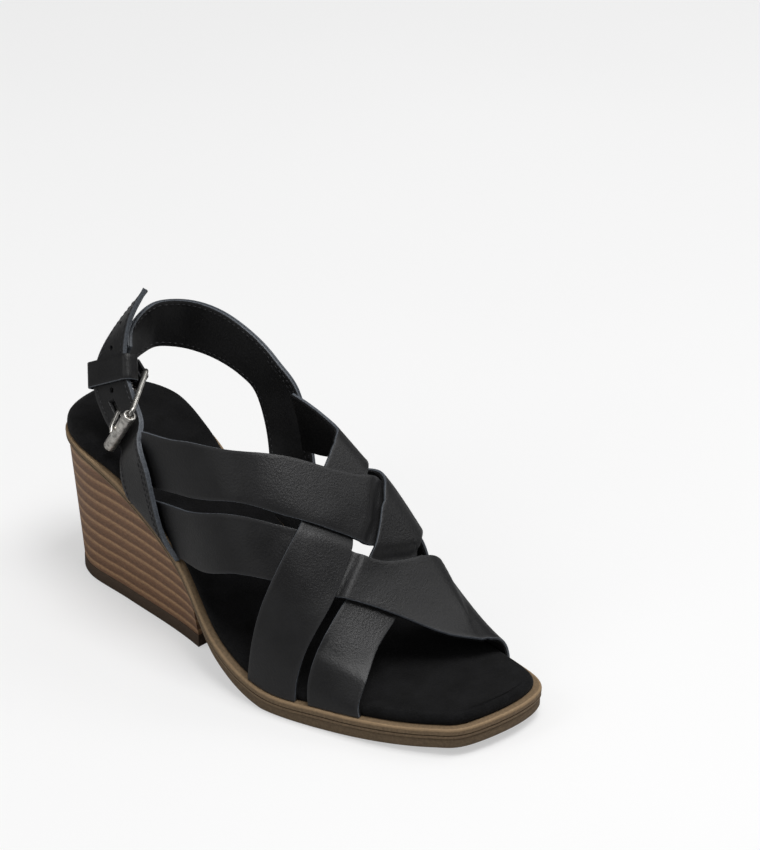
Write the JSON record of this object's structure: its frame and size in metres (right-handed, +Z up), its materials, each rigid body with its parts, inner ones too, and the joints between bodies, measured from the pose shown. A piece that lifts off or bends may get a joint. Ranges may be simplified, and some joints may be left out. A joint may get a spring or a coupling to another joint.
{
  "type": "wedge sandal",
  "caption": "Slingback wedge sandal for the right foot: woven leather vamp, stacked wedge heel, thin welted sole and a roller buckle strap.",
  "frame": {"origin": "centre of the whole object's box in plan, on the ground plane under the heel lift and the forefoot", "axes": "+Z up, -Y towards the toe, -X towards the outer side of the foot, where the buckle is"},
  "size_m": [0.0933, 0.243, 0.1379],
  "materials": {
    "rubber_sole": "matt moulded rubber",
    "tan_welt": "matt, layered tan rim",
    "heel_lift": "matt dark brown rubber",
    "heel_core": "moulded heel block, hidden",
    "stacked_heel": "satin stacked-leather look with fine light layers",
    "board": "pressed fibre board, hidden",
    "shank_steel": "plain steel strip, hidden",
    "fastener_steel": "plain steel",
    "foam": "soft cushioning foam, hidden",
    "suede": "matt black suede",
    "suede_lining": "matt black suede",
    "leather": "satin black leather with grey-blue cut edges",
    "elastic": "ribbed black elastic webbing",
    "buckle_metal": "antique silver"
  },
  "bodies": {
    "shoe": {"outsole": "rubber_sole", "welt": "tan_welt", "top_lift": "heel_lift", "wedge_core": "heel_core", "heel_wrap": "stacked_heel", "insole_board": "board", "steel_shank": "shank_steel", "shank_rivets": "fastener_steel", "heel_screws": "fastener_steel", "lift_nails": "fastener_steel", "footbed_foam": "foam", "footbed_cover": "suede", "strap_outer_rear": "leather", "strap_outer_front": "leather", "strap_inner_rear": "leather", "strap_inner_front": "leather", "lining_outer_rear": "suede_lining", "lining_outer_front": "suede_lining", "lining_inner_rear": "suede_lining", "lining_inner_front": "suede_lining", "billet_strap": "leather", "billet_lining": "suede_lining", "heel_strap": "leather", "heel_strap_lining": "suede_lining", "elastic_gore": "elastic"},
    "keeper": {"keeper_loop": "leather"},
    "buckle_frame": {"buckle_frame": "buckle_metal"},
    "roller": {"buckle_roller": "buckle_metal"},
    "prong": {"buckle_prong": "buckle_metal"}
  },
  "joints": [
    {"name": "frame_hinge", "type": "hinge", "parent": "shoe", "child": "buckle_frame", "pos_m": [-0.00555, 0.0825, 0.0923], "axis": [-0.01, 0.5554, -0.8315], "range_deg": [-0.5, 3]},
    {"name": "prong_hinge", "type": "hinge", "parent": "buckle_frame", "child": "prong", "pos_m": [-0.00555, 0.0825, 0.0923], "axis": [-0.01, 0.5554, -0.8315], "range_deg": [0, 2.5]},
    {"name": "roller_spin", "type": "hinge", "parent": "buckle_frame", "child": "roller", "pos_m": [-0.02669, 0.06979, 0.08407], "axis": [-0.01, 0.5554, -0.8315], "continuous": true},
    {"name": "keeper_slide", "type": "slide", "parent": "shoe", "child": "keeper", "axis": [0.4336, 0.4735, 0.7667], "range_m": [-0.002, 0.003]}
  ]
}
